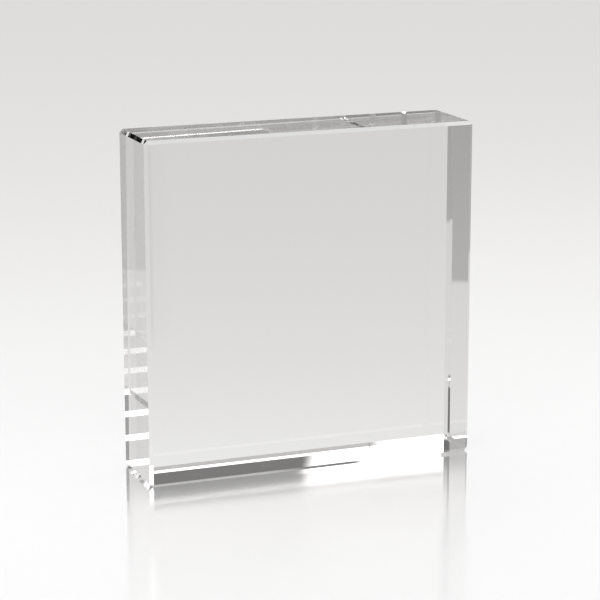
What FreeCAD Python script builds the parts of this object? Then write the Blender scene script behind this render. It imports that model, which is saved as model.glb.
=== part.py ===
import FreeCAD, Part
import os

# Clear acrylic display block, millimetres.
# One solid piece of cast acrylic: a square slab that stands on its narrow lower face.
# The picture or print of such a block goes on its rear face and is seen through the front.
# Every edge has a polished flat bevel, and the bevels meet in a small triangle at each corner.
# Origin: middle of the lower face. +X to the right seen from the front, +Y to the rear, +Z up.

# Driving dimensions
block_width = 101.6
block_height = 101.6
block_depth = 25.4
edge_bevel = 1.0


def clear_block():
    """The sawn slab, centred on its lower face, with all twelve edges bevelled at 45 degrees."""
    lower_corner = FreeCAD.Vector(-block_width / 2, -block_depth / 2, 0)
    slab = Part.makeBox(block_width, block_depth, block_height, lower_corner)
    return slab.makeChamfer(edge_bevel, slab.Edges)


def main():
    os.makedirs("parts", exist_ok=True)
    clear_block().exportStep("parts/clear_block.step")


main()
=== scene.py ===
import math

import bmesh
import bpy
from mathutils import Matrix, Vector


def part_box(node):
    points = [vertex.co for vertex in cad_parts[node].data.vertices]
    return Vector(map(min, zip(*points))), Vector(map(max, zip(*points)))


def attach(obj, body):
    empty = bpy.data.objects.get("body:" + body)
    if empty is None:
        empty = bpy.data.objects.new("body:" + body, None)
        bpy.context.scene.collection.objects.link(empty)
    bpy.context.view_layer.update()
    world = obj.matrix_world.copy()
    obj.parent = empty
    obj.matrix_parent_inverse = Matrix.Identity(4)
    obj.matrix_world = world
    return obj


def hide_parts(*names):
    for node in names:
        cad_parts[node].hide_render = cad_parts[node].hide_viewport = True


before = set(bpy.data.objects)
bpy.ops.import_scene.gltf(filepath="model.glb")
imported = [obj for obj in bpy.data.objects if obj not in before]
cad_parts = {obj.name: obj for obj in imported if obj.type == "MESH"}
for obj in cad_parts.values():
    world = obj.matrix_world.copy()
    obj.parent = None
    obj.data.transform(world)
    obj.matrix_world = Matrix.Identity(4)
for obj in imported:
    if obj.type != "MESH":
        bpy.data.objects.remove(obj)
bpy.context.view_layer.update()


# Clear block. The only piece of the object: a square slab sawn from thick clear cast acrylic.
# Every face is polished, and a narrow flat bevel is polished along each of the twelve edges.
# It stands loose on its narrow lower face, and a print can be put on its rear face.
edge_bevel = 0.0010
block_low, block_high = (Vector(corner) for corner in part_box("clear_block"))


def make_object(name, mesh):
    """An object at the origin that holds a finished bmesh."""
    data = bpy.data.meshes.new(name)
    mesh.to_mesh(data)
    mesh.free()
    made = bpy.data.objects.new(name, data)
    bpy.context.scene.collection.objects.link(made)
    return made


block_mesh = bmesh.new()
bmesh.ops.create_cube(block_mesh, size=1.0)
bmesh.ops.scale(block_mesh, vec=block_high - block_low, verts=block_mesh.verts)
bmesh.ops.translate(block_mesh, vec=(block_low + block_high) / 2, verts=block_mesh.verts)
bmesh.ops.bevel(
    block_mesh, geom=list(block_mesh.edges), offset=edge_bevel,
    affect="EDGES", segments=1, profile=0.5, material=-1,
)
acrylic_block = make_object("acrylic_block", block_mesh)


def add_node(tree, kind, settings=(), **inputs):
    """A shader node with its settings and inputs. An input goes by its name, with _ for a space,
    or by i and its number, and takes a socket to link or a plain value."""
    node = tree.nodes.new(kind)
    for name, value in dict(settings).items():
        setattr(node, name, value)
    for name, value in inputs.items():
        by_number = name[1:].isdigit()
        socket = node.inputs[int(name[1:]) if by_number else name.replace("_", " ")]
        if isinstance(value, bpy.types.NodeSocket):
            tree.links.new(value, socket)
        else:
            socket.default_value = value
    return node


def do_math(tree, operation, first, second=0.0, third=0.0):
    """One Math node's result, from sockets or plain numbers."""
    node = add_node(tree, "ShaderNodeMath", {"operation": operation}, i0=first, i1=second, i2=third)
    return node.outputs[0]


# Marks of handling on polished acrylic: hairline scratches, faint smudges and specks of dust.
handling_marks = bpy.data.node_groups.new("handling_marks", "ShaderNodeTree")
handling_marks.interface.new_socket("Place", in_out="INPUT", socket_type="NodeSocketVector")
for name in ("Scratch Roughness", "Smudge Roughness", "Dust Roughness"):
    handling_marks.interface.new_socket(name, in_out="INPUT", socket_type="NodeSocketFloat")
handling_marks.interface.new_socket("Roughness", in_out="OUTPUT", socket_type="NodeSocketFloat")
marks_in = handling_marks.nodes.new("NodeGroupInput").outputs
marks_out = handling_marks.nodes.new("NodeGroupOutput").inputs

scratch_turn = (math.radians(20), math.radians(52), math.radians(35))
scratch_stretch = (2600.0, 2600.0, 60.0)
scratch_from = 0.74
scratch_full = 0.80
scratch_place = add_node(
    handling_marks, "ShaderNodeMapping",
    Vector=marks_in["Place"], Rotation=scratch_turn, Scale=scratch_stretch,
).outputs["Vector"]
scratch_noise = add_node(
    handling_marks, "ShaderNodeTexNoise", Vector=scratch_place, Scale=1.0, Detail=1.0
).outputs["Fac"]
scratches = add_node(
    handling_marks, "ShaderNodeMapRange",
    Value=scratch_noise, From_Min=scratch_from, From_Max=scratch_full,
).outputs["Result"]

smudge_size = 0.014
smudge_from = 0.52
smudge_full = 0.72
smudge_noise = add_node(
    handling_marks, "ShaderNodeTexNoise", Vector=marks_in["Place"], Scale=1.0 / smudge_size, Detail=4.0
).outputs["Fac"]
smudges = add_node(
    handling_marks, "ShaderNodeMapRange", {"interpolation_type": "SMOOTHSTEP"},
    Value=smudge_noise, From_Min=smudge_from, From_Max=smudge_full,
).outputs["Result"]

dust_spacing = 0.0045
dust_size_share = 0.030
from_speck = add_node(
    handling_marks, "ShaderNodeTexVoronoi", Vector=marks_in["Place"], Scale=1.0 / dust_spacing
).outputs["Distance"]
dust = do_math(handling_marks, "LESS_THAN", from_speck, dust_size_share)

marks_roughness = 0.0
for marks, roughness in (
    (scratches, "Scratch Roughness"), (smudges, "Smudge Roughness"), (dust, "Dust Roughness"),
):
    rough_marks = do_math(handling_marks, "MULTIPLY", marks, marks_in[roughness])
    marks_roughness = do_math(handling_marks, "MAXIMUM", marks_roughness, rough_marks)
handling_marks.links.new(marks_roughness, marks_out["Roughness"])

# The acrylic itself: clear right through, with the marks on its skin. Its grey tint takes about a
# seventh of the light, which gives the large faces the tone that they have in the photograph.
acrylic_tint = (0.860, 0.860, 0.856, 1.0)
acrylic_ior = 1.49
scratch_roughness = 0.16
smudge_roughness = 0.030
dust_roughness = 0.35

acrylic = bpy.data.materials.new("clear_polished_acrylic")
acrylic.use_nodes = True
acrylic_tree = acrylic.node_tree
acrylic_shader = acrylic_tree.nodes["Principled BSDF"]
acrylic_shader.inputs["Base Color"].default_value = acrylic_tint
acrylic_shader.inputs["IOR"].default_value = acrylic_ior
acrylic_shader.inputs["Transmission Weight"].default_value = 1.0
on_block = add_node(acrylic_tree, "ShaderNodeTexCoord").outputs
block_marks = add_node(
    acrylic_tree, "ShaderNodeGroup", {"node_tree": handling_marks},
    Place=on_block["Object"], Scratch_Roughness=scratch_roughness,
    Smudge_Roughness=smudge_roughness, Dust_Roughness=dust_roughness,
)
acrylic_tree.links.new(block_marks.outputs["Roughness"], acrylic_shader.inputs["Roughness"])

# The two large faces are flat. The narrow faces and bevels were polished on a wheel, which leaves
# them very slightly wavy.
wave_size = 0.009
wave_height = 0.00000015
large_face_from = 0.9
facing = add_node(acrylic_tree, "ShaderNodeSeparateXYZ", Vector=on_block["Normal"]).outputs
toward_front = do_math(acrylic_tree, "ABSOLUTE", facing["Y"])
wheel_polished = do_math(acrylic_tree, "LESS_THAN", toward_front, large_face_from)
wave_noise = add_node(
    acrylic_tree, "ShaderNodeTexNoise", Vector=on_block["Object"], Scale=1.0 / wave_size, Detail=1.0
).outputs["Fac"]
wave_rise = do_math(acrylic_tree, "MULTIPLY", wave_noise, wheel_polished)
polish_waves = add_node(
    acrylic_tree, "ShaderNodeBump", Strength=1.0, Distance=wave_height, Height=wave_rise
)
acrylic_tree.links.new(polish_waves.outputs["Normal"], acrylic_shader.inputs["Normal"])
acrylic_block.data.materials.append(acrylic)

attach(acrylic_block, "root")
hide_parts("clear_block")


# Studio floor. A wide pale sheet a hair below the block, with a painted pool of light round it and painted
# shade, greyer far off to the rear and the front. Near the block it has a soft gloss that mirrors it and
# then dies away.
floor_reach = 6.0
floor_drop = 0.00003
bright_middle = Vector((-0.052, -0.040, 0.0))
light_heading = math.radians(21.2)
falloff_along = 0.331
falloff_across = 9.0
falloff_power = 1.57
full_white = (1.0, 1.0, 1.0, 1.0)
far_grey = (0.684, 0.672, 0.657, 1.0)

floor_mesh = bmesh.new()
bmesh.ops.create_grid(floor_mesh, x_segments=1, y_segments=1, size=floor_reach)
bmesh.ops.translate(floor_mesh, vec=(0, 0, -floor_drop), verts=floor_mesh.verts)
studio_floor = make_object("studio_floor", floor_mesh)


def do_vector_math(tree, operation, first, second=(0.0, 0.0, 0.0)):
    """One Vector Math node's result: a number for a length or a dot product, or else a vector."""
    node = add_node(tree, "ShaderNodeVectorMath", {"operation": operation}, i0=first, i1=second)
    return node.outputs["Value" if operation in ("LENGTH", "DOT_PRODUCT") else "Vector"]


def mix_colours(tree, share, first, second):
    """Two colours mixed, where the share is the second one's."""
    node = add_node(tree, "ShaderNodeMix", {"data_type": "RGBA"}, i0=share, i6=first, i7=second)
    return node.outputs[2]


floor_paint = bpy.data.materials.new("pale_floor")
floor_paint.use_nodes = True
floor_tree = floor_paint.node_tree
floor_tree.nodes.clear()
place = add_node(floor_tree, "ShaderNodeTexCoord").outputs["Object"]
lit_place = add_node(
    floor_tree, "ShaderNodeMapping", {"vector_type": "TEXTURE"}, Vector=place, Location=bright_middle,
    Rotation=(0.0, 0.0, -light_heading), Scale=(falloff_across, falloff_along, 1.0),
).outputs["Vector"]
from_middle = do_vector_math(floor_tree, "LENGTH", lit_place)
falloff = do_math(floor_tree, "POWER", from_middle, falloff_power)
light_share = do_math(floor_tree, "DIVIDE", 1.0, do_math(floor_tree, "ADD", falloff, 1.0))
# Painted light: the floor colour runs from white in a painted pool of light to far grey in painted shade
# far off.
pale_floor_with_painted_light = mix_colours(floor_tree, light_share, far_grey, full_white)

# The gloss goes by the gap to the block's footprint. The block is centred, so its high corner is
# half of its footprint.
gloss_at_block = 0.745
gloss_half_gap = 0.060
gloss_fall_power = 1.9
sharp_gloss = 0.030
soft_gloss = 0.120
soft_from = 0.015
soft_gap = 0.090
past_sides = do_vector_math(
    floor_tree, "SUBTRACT", do_vector_math(floor_tree, "ABSOLUTE", place), block_high
)
gap = do_vector_math(
    floor_tree, "LENGTH", do_vector_math(floor_tree, "MAXIMUM", past_sides, (0.0, 0.0, 0.0))
)
gap_share = do_math(floor_tree, "DIVIDE", gap, gloss_half_gap)
gloss_fall = do_math(floor_tree, "POWER", gap_share, gloss_fall_power)
gloss = do_math(floor_tree, "DIVIDE", gloss_at_block, do_math(floor_tree, "ADD", gloss_fall, 1.0))
gloss_blur = add_node(
    floor_tree, "ShaderNodeMapRange", {"interpolation_type": "SMOOTHERSTEP"},
    Value=gap, From_Min=soft_from, From_Max=soft_gap, To_Min=sharp_gloss, To_Max=soft_gloss,
).outputs["Result"]
mirror = add_node(floor_tree, "ShaderNodeBsdfAnisotropic", Roughness=gloss_blur, Color=full_white)
matt = add_node(floor_tree, "ShaderNodeBsdfDiffuse", Color=pale_floor_with_painted_light)
mixed = add_node(floor_tree, "ShaderNodeMixShader", i0=gloss, i1=matt.outputs[0], i2=mirror.outputs[0])
add_node(floor_tree, "ShaderNodeOutputMaterial", Surface=mixed.outputs[0])
studio_floor.data.materials.append(floor_paint)

# The block's own images show the floor of the studio light instead of this sheet.
studio_floor.visible_transmission = False
studio_floor.visible_glossy = False


# Studio light. Soft even light, with softboxes overhead and at the left, a white panel at the
# right and dark cards behind, which draw the lines inside the clear block. All of it is painted
# far off by azimuth, 0 to the rear and 90 to the right, and by elevation, both in degrees.
studio = bpy.data.worlds.new("studio_light")
bpy.context.scene.world = studio
studio.use_nodes = True
studio_tree = studio.node_tree
studio_tree.nodes.clear()
direction = add_node(studio_tree, "ShaderNodeTexCoord").outputs["Generated"]
axes = add_node(studio_tree, "ShaderNodeSeparateXYZ", Vector=direction).outputs
azimuth = do_math(studio_tree, "DEGREES", do_math(studio_tree, "ARCTAN2", axes["X"], axes["Y"]))
elevation = do_math(studio_tree, "DEGREES", do_math(studio_tree, "ARCSINE", axes["Z"]))

# Mask of one soft-edged card, which may lean sideways as it goes up, or tilt as it goes right.
half_turn = 180.0
card_mask = bpy.data.node_groups.new("card_mask", "ShaderNodeTree")
for name in (
    "Azimuth", "Elevation", "Left", "Right", "Bottom", "Top", "Side Edge", "Level Edge", "Lean", "Tilt",
):
    card_mask.interface.new_socket(name, in_out="INPUT", socket_type="NodeSocketFloat")
card_mask.interface.new_socket("Mask", in_out="OUTPUT", socket_type="NodeSocketFloat")
card_in = card_mask.nodes.new("NodeGroupInput").outputs
card_out = card_mask.nodes.new("NodeGroupOutput").inputs


def middle_and_half(start, end):
    """The middle of a span and half its width."""
    middle = do_math(card_mask, "MULTIPLY", do_math(card_mask, "ADD", start, end), 0.5)
    half = do_math(card_mask, "MULTIPLY", do_math(card_mask, "SUBTRACT", end, start), 0.5)
    return middle, half


def soft_inside(away, half, edge):
    """1 within half a span of its middle and 0 outside, with a soft edge centred on its end."""
    half_edge = do_math(card_mask, "MULTIPLY", edge, 0.5)
    return add_node(
        card_mask, "ShaderNodeMapRange", {"interpolation_type": "SMOOTHSTEP"},
        Value=do_math(card_mask, "ABSOLUTE", away),
        From_Min=do_math(card_mask, "SUBTRACT", half, half_edge),
        From_Max=do_math(card_mask, "ADD", half, half_edge),
        To_Min=1.0, To_Max=0.0,
    ).outputs["Result"]


side_middle, side_half = middle_and_half(card_in["Left"], card_in["Right"])
level_middle, level_half = middle_and_half(card_in["Bottom"], card_in["Top"])
upward = do_math(card_mask, "SUBTRACT", card_in["Elevation"], level_middle)
leaned = do_math(card_mask, "MULTIPLY", upward, card_in["Lean"])
sideways = do_math(card_mask, "SUBTRACT", card_in["Azimuth"], side_middle)
sideways = do_math(card_mask, "SUBTRACT", sideways, leaned)
sideways = do_math(card_mask, "WRAP", sideways, half_turn, -half_turn)
tilted = do_math(card_mask, "MULTIPLY", sideways, card_in["Tilt"])
upward = do_math(card_mask, "SUBTRACT", upward, tilted)
side_mask = soft_inside(sideways, side_half, card_in["Side Edge"])
level_mask = soft_inside(upward, level_half, card_in["Level Edge"])
card_mask.links.new(do_math(card_mask, "MULTIPLY", side_mask, level_mask), card_out["Mask"])


def card_shape(name, azimuths, elevations, edge=1.0, level_edge=None, lean=0.0, tilt=0.0):
    """The mask of one card. Its level edges are as soft as its sides if nothing else is given."""
    left, right = azimuths
    bottom, top = elevations
    return add_node(
        studio_tree, "ShaderNodeGroup", {"node_tree": card_mask, "label": name},
        Azimuth=azimuth, Elevation=elevation, Left=left, Right=right, Bottom=bottom, Top=top,
        Side_Edge=edge, Level_Edge=edge if level_edge is None else level_edge,
        Lean=lean, Tilt=tilt,
    ).outputs["Mask"]


def lay_over(lower, level, mask):
    """One brightness laid over another through a mask."""
    return add_node(
        studio_tree, "ShaderNodeMix", {"data_type": "FLOAT"}, i0=mask, i2=lower, i3=level
    ).outputs[0]


def hang_card(light, name, azimuths, elevations, level, **shape):
    """The studio's light with one more card of an even level hung before what was there."""
    return lay_over(light, level, card_shape(name, azimuths, elevations, **shape))


# Open studio: even above the horizon, and below it the glow of the floor, stronger near the block.
open_level = 0.62
far_glow = 0.69
near_glow_rise = 0.25
glow_from = -17.4
glow_steepness = 5.0
top_glow = 0.98
below_glow = do_math(studio_tree, "SUBTRACT", glow_from, elevation)
glow_rise = do_math(
    studio_tree, "EXPONENT", do_math(studio_tree, "DIVIDE", below_glow, glow_steepness)
)
floor_glow = do_math(studio_tree, "MULTIPLY_ADD", glow_rise, near_glow_rise, far_glow)
floor_glow = do_math(studio_tree, "MINIMUM", floor_glow, top_glow)
below_horizon = do_math(studio_tree, "LESS_THAN", elevation, 0.0)
light = lay_over(open_level, floor_glow, below_horizon)

# The lit floor ends at a straight edge to the left rear. The floor beyond it lies in shade, which
# is deepest far off, and a thin shade lies on this side of the edge.
shade_heading = math.radians(-30.5)
shade_slope = 0.227
shade_starts = -0.0042
shade_full = -0.0016
thin_shade = 0.15
shade_fade = -0.019
shade_at_horizon = 0.226
shade_most = 0.470
edge_plane = (shade_slope * math.sin(shade_heading), shade_slope * math.cos(shade_heading), 1.0)
over_edge = do_vector_math(studio_tree, "DOT_PRODUCT", direction, edge_plane)
beyond = add_node(
    studio_tree, "ShaderNodeMapRange", {"interpolation_type": "SMOOTHSTEP"},
    Value=over_edge, From_Min=shade_starts, From_Max=shade_full, To_Min=thin_shade,
).outputs["Result"]
shade = do_math(
    studio_tree, "MULTIPLY", beyond, card_shape("shade", (-85, 8), (-60, 0), edge=4, level_edge=0.1)
)
shade_level = do_math(studio_tree, "MULTIPLY_ADD", elevation, shade_fade, shade_at_horizon)
shade_level = do_math(studio_tree, "MINIMUM", shade_level, shade_most)
light = lay_over(light, shade_level, shade)

# The cards, each with its azimuths, its elevations and its level. First those overhead and high up.
all_round = (-180, 180.1)
light = hang_card(light, "ceiling softbox", all_round, (57, 100), 2.2, edge=3)
light = hang_card(light, "white panel right upper", (28.6, 125), (21, 52), 2.5, edge=0.8, level_edge=2)
light = hang_card(light, "pale wall behind", (12, 34), (18.6, 41), 1.0, edge=2, level_edge=0.4)
light = hang_card(light, "dark valance", (10, 28.6), (42, 46), 0.15, edge=0.8, level_edge=1.5)
light = hang_card(light, "softbox corner", (24, 34), (46.5, 60), 4.5, edge=1.5)
light = hang_card(light, "softbox gap left", (-118, -62), (60, 70), 0.8, edge=3)

# Low behind the block and to its right. A thin bright edge lies just above the dark flag.
flag_tilt = -0.106
light = hang_card(light, "rear wall low", (5, 60), (10.0, 13.2), 0.45, edge=1.0, level_edge=0.6)
light = hang_card(light, "rear wall gap", (5, 60), (12.8, 15.5), 0.45, edge=1.0, level_edge=0.6)
light = hang_card(light, "dark gap end", (20.6, 30), (12.9, 16), 0.06, edge=1.6, level_edge=0.6)
light = hang_card(
    light, "dark flag behind", (5, 30), (15.3, 18.54), 0.17, edge=0.8, level_edge=0.06, tilt=flag_tilt
)
light = hang_card(light, "black strip", (5, 30), (7.6, 9.25), 0.06, edge=1.0, level_edge=0.2)
light = hang_card(
    light, "white panel right", (22.35, 60), (9.9, 18.6), 1.9, edge=0.5, level_edge=0.3, lean=-0.26
)
light = hang_card(
    light, "pale wall foot", (12, 34), (18.16, 23), 1.0, edge=2, level_edge=0.25, tilt=flag_tilt
)
light = hang_card(
    light, "flag lip", (12, 34), (18.00, 18.12), 0.20, edge=2, level_edge=0.05, tilt=flag_tilt
)
light = hang_card(
    light, "flag edge", (12, 23), (18.545, 18.57), 4.5, edge=2, level_edge=0.02, tilt=flag_tilt
)
light = hang_card(light, "right wall foot", (34, 60), (18.5, 20.5), 0.95, edge=1, level_edge=0.4)

# In front of the block and at its left.
light = hang_card(light, "front", (115, 180), (0, 40), 0.80, edge=5)
light = hang_card(light, "front left", (-180, -100), (0, 40), 0.70, edge=5)
light = hang_card(light, "front left low", (-176, -150), (13, 20), 0.52, edge=4, level_edge=2)
light = hang_card(light, "softbox left", (-101, -79), (18.5, 25), 3.0, edge=1.5)
light = hang_card(light, "left corner top", (-50, -26), (44, 54), 0.40, edge=2)
light = hang_card(light, "left corner black", (-46, -39.5), (44, 54), 0.05, edge=1.5)
light = hang_card(light, "left front top", (-148, -132), (44, 52), 0.03, edge=2)

# To the left rear, and the bright feet of the walls.
light = hang_card(light, "left rear", (-30, -5), (14, 30), 0.48, edge=2)
light = hang_card(light, "left rear low", (-24, -9), (14.6, 17.5), 0.22, edge=2, level_edge=0.4)
light = hang_card(light, "rear post", (-6, 4), (13.5, 17.7), 0.15, edge=2, level_edge=0.4)
light = hang_card(light, "left post", (-72, -58), (13, 18.5), 0.15, edge=2)
light = hang_card(light, "dark rear", (-14, 12), (20, 25), 0.08, edge=1.5)
light = hang_card(light, "left rear pale", (-34, -20), (17.7, 34), 0.85, edge=3, level_edge=0.5)
light = hang_card(light, "left wall foot", (-62, 6), (18.3, 20), 0.95, edge=1, level_edge=0.6)
light = hang_card(
    light, "left wall foot, rearwards", (-62, -15), (19.5, 22.5), 0.95, edge=1, level_edge=0.8
)
light = hang_card(light, "front wall foot", (150, 175), (18.6, 23), 0.95, edge=3, level_edge=0.6)

# The floor, as the block's own images show it.
floor_near_horizon = (-14.6, 2)
light = hang_card(light, "floor left of the flag", (5, 17.2), (-14.4, 2), 0.50, edge=0.4, level_edge=1.2)
light = hang_card(light, "bright front floor", (135, 225), floor_near_horizon, 0.90, edge=3, level_edge=1.0)
light = hang_card(light, "front floor", (162.3, 190), floor_near_horizon, 0.72, edge=0.5, level_edge=1.0)
light = hang_card(light, "far floor left", (-80, -55), (-8.85, 2), 0.66, edge=2, level_edge=0.1)
light = hang_card(light, "shaded floor left", (-80, -52), (-11.3, -8.85), 0.42, edge=2, level_edge=0.1)
light = hang_card(light, "near floor", all_round, (-91, -25), 0.83, edge=1, level_edge=5)
light = hang_card(light, "floor at the block", all_round, (-91, -42), 1.12, edge=1, level_edge=5)
light = hang_card(light, "floor behind the block", (14, 33), (-39, -31), 0.765, edge=4, level_edge=3)

# What is mirrored on the floor or on the block's outside has a pale wall and a dark corner before
# the cards. What is seen through the block has the cards alone, with a slight warm cast except low
# down. Matt things get an even light, and past the floor's end the camera sees a pale grey.
even_light = (1.022, 1.022, 1.022, 1.0)
no_cast = (1.0, 1.0, 1.0, 1.0)
warm_cast = (1.021, 1.0, 0.992, 1.0)
cast_from = -20.0
cast_full = -12.0
mirrored_light = hang_card(light, "pale wall", (0, 60), (12.5, 45), 0.98, edge=2, level_edge=1)
mirrored_light = hang_card(mirrored_light, "dark corner", (-13.5, -4), (12.5, 22), 0.03, edge=1)
cast_share = add_node(
    studio_tree, "ShaderNodeMapRange", {"interpolation_type": "SMOOTHSTEP"},
    Value=elevation, From_Min=cast_from, From_Max=cast_full,
).outputs["Result"]
cast = mix_colours(studio_tree, cast_share, no_cast, warm_cast)
light_in_block = add_node(
    studio_tree, "ShaderNodeVectorMath", {"operation": "SCALE"}, i0=cast, Scale=light
).outputs["Vector"]
paths = add_node(studio_tree, "ShaderNodeLightPath").outputs
seen = mix_colours(studio_tree, paths["Is Camera Ray"], even_light, far_grey)
seen = mix_colours(studio_tree, paths["Is Glossy Ray"], seen, mirrored_light)
seen = mix_colours(studio_tree, paths["Is Transmission Ray"], seen, light_in_block)
glow = add_node(studio_tree, "ShaderNodeBackground", Color=seen, Strength=1.0)
add_node(studio_tree, "ShaderNodeOutputWorld", Surface=glow.outputs[0])
studio.cycles.sampling_method = "NONE"

# Light goes on through many inner reflections of the block, and ends dark at this limit.
inner_reflections = 28
bpy.context.scene.cycles.max_bounces = inner_reflections
bpy.context.scene.cycles.transmission_bounces = inner_reflections
bpy.context.scene.cycles.glossy_bounces = inner_reflections
bpy.context.scene.cycles.caustics_refractive = True
bpy.context.scene.cycles.caustics_reflective = True
bpy.context.scene.view_settings.view_transform = "Standard"


# Camera. A long lens from the front left and a little above, as in the photograph. Its place is
# in widths of the block from the middle of the block's lower face.
picture_side = 600
focal_pixels = 2222.0
sensor_width = 36.0
heading = math.radians(21.207)
downward = math.radians(13.407)
roll = math.radians(-0.074)
block_width = block_high.x - block_low.x
camera_in_widths = Vector((-2.2862, -5.9074, 1.9916))

photo_camera = bpy.data.objects.new("photo_camera", bpy.data.cameras.new("photo_camera"))
bpy.context.scene.collection.objects.link(photo_camera)
photo_camera.data.sensor_width = sensor_width
photo_camera.data.lens = focal_pixels / picture_side * sensor_width
forward = Vector((
    math.sin(heading) * math.cos(downward),
    math.cos(heading) * math.cos(downward),
    -math.sin(downward),
))
level_right = Vector((math.cos(heading), -math.sin(heading), 0.0))
level_up = level_right.cross(forward)
picture_right = level_right * math.cos(roll) + level_up * math.sin(roll)
picture_up = level_up * math.cos(roll) - level_right * math.sin(roll)
camera_matrix = Matrix((picture_right, picture_up, -forward)).transposed().to_4x4()
camera_matrix.translation = camera_in_widths * block_width
photo_camera.matrix_world = camera_matrix
bpy.context.scene.camera = photo_camera
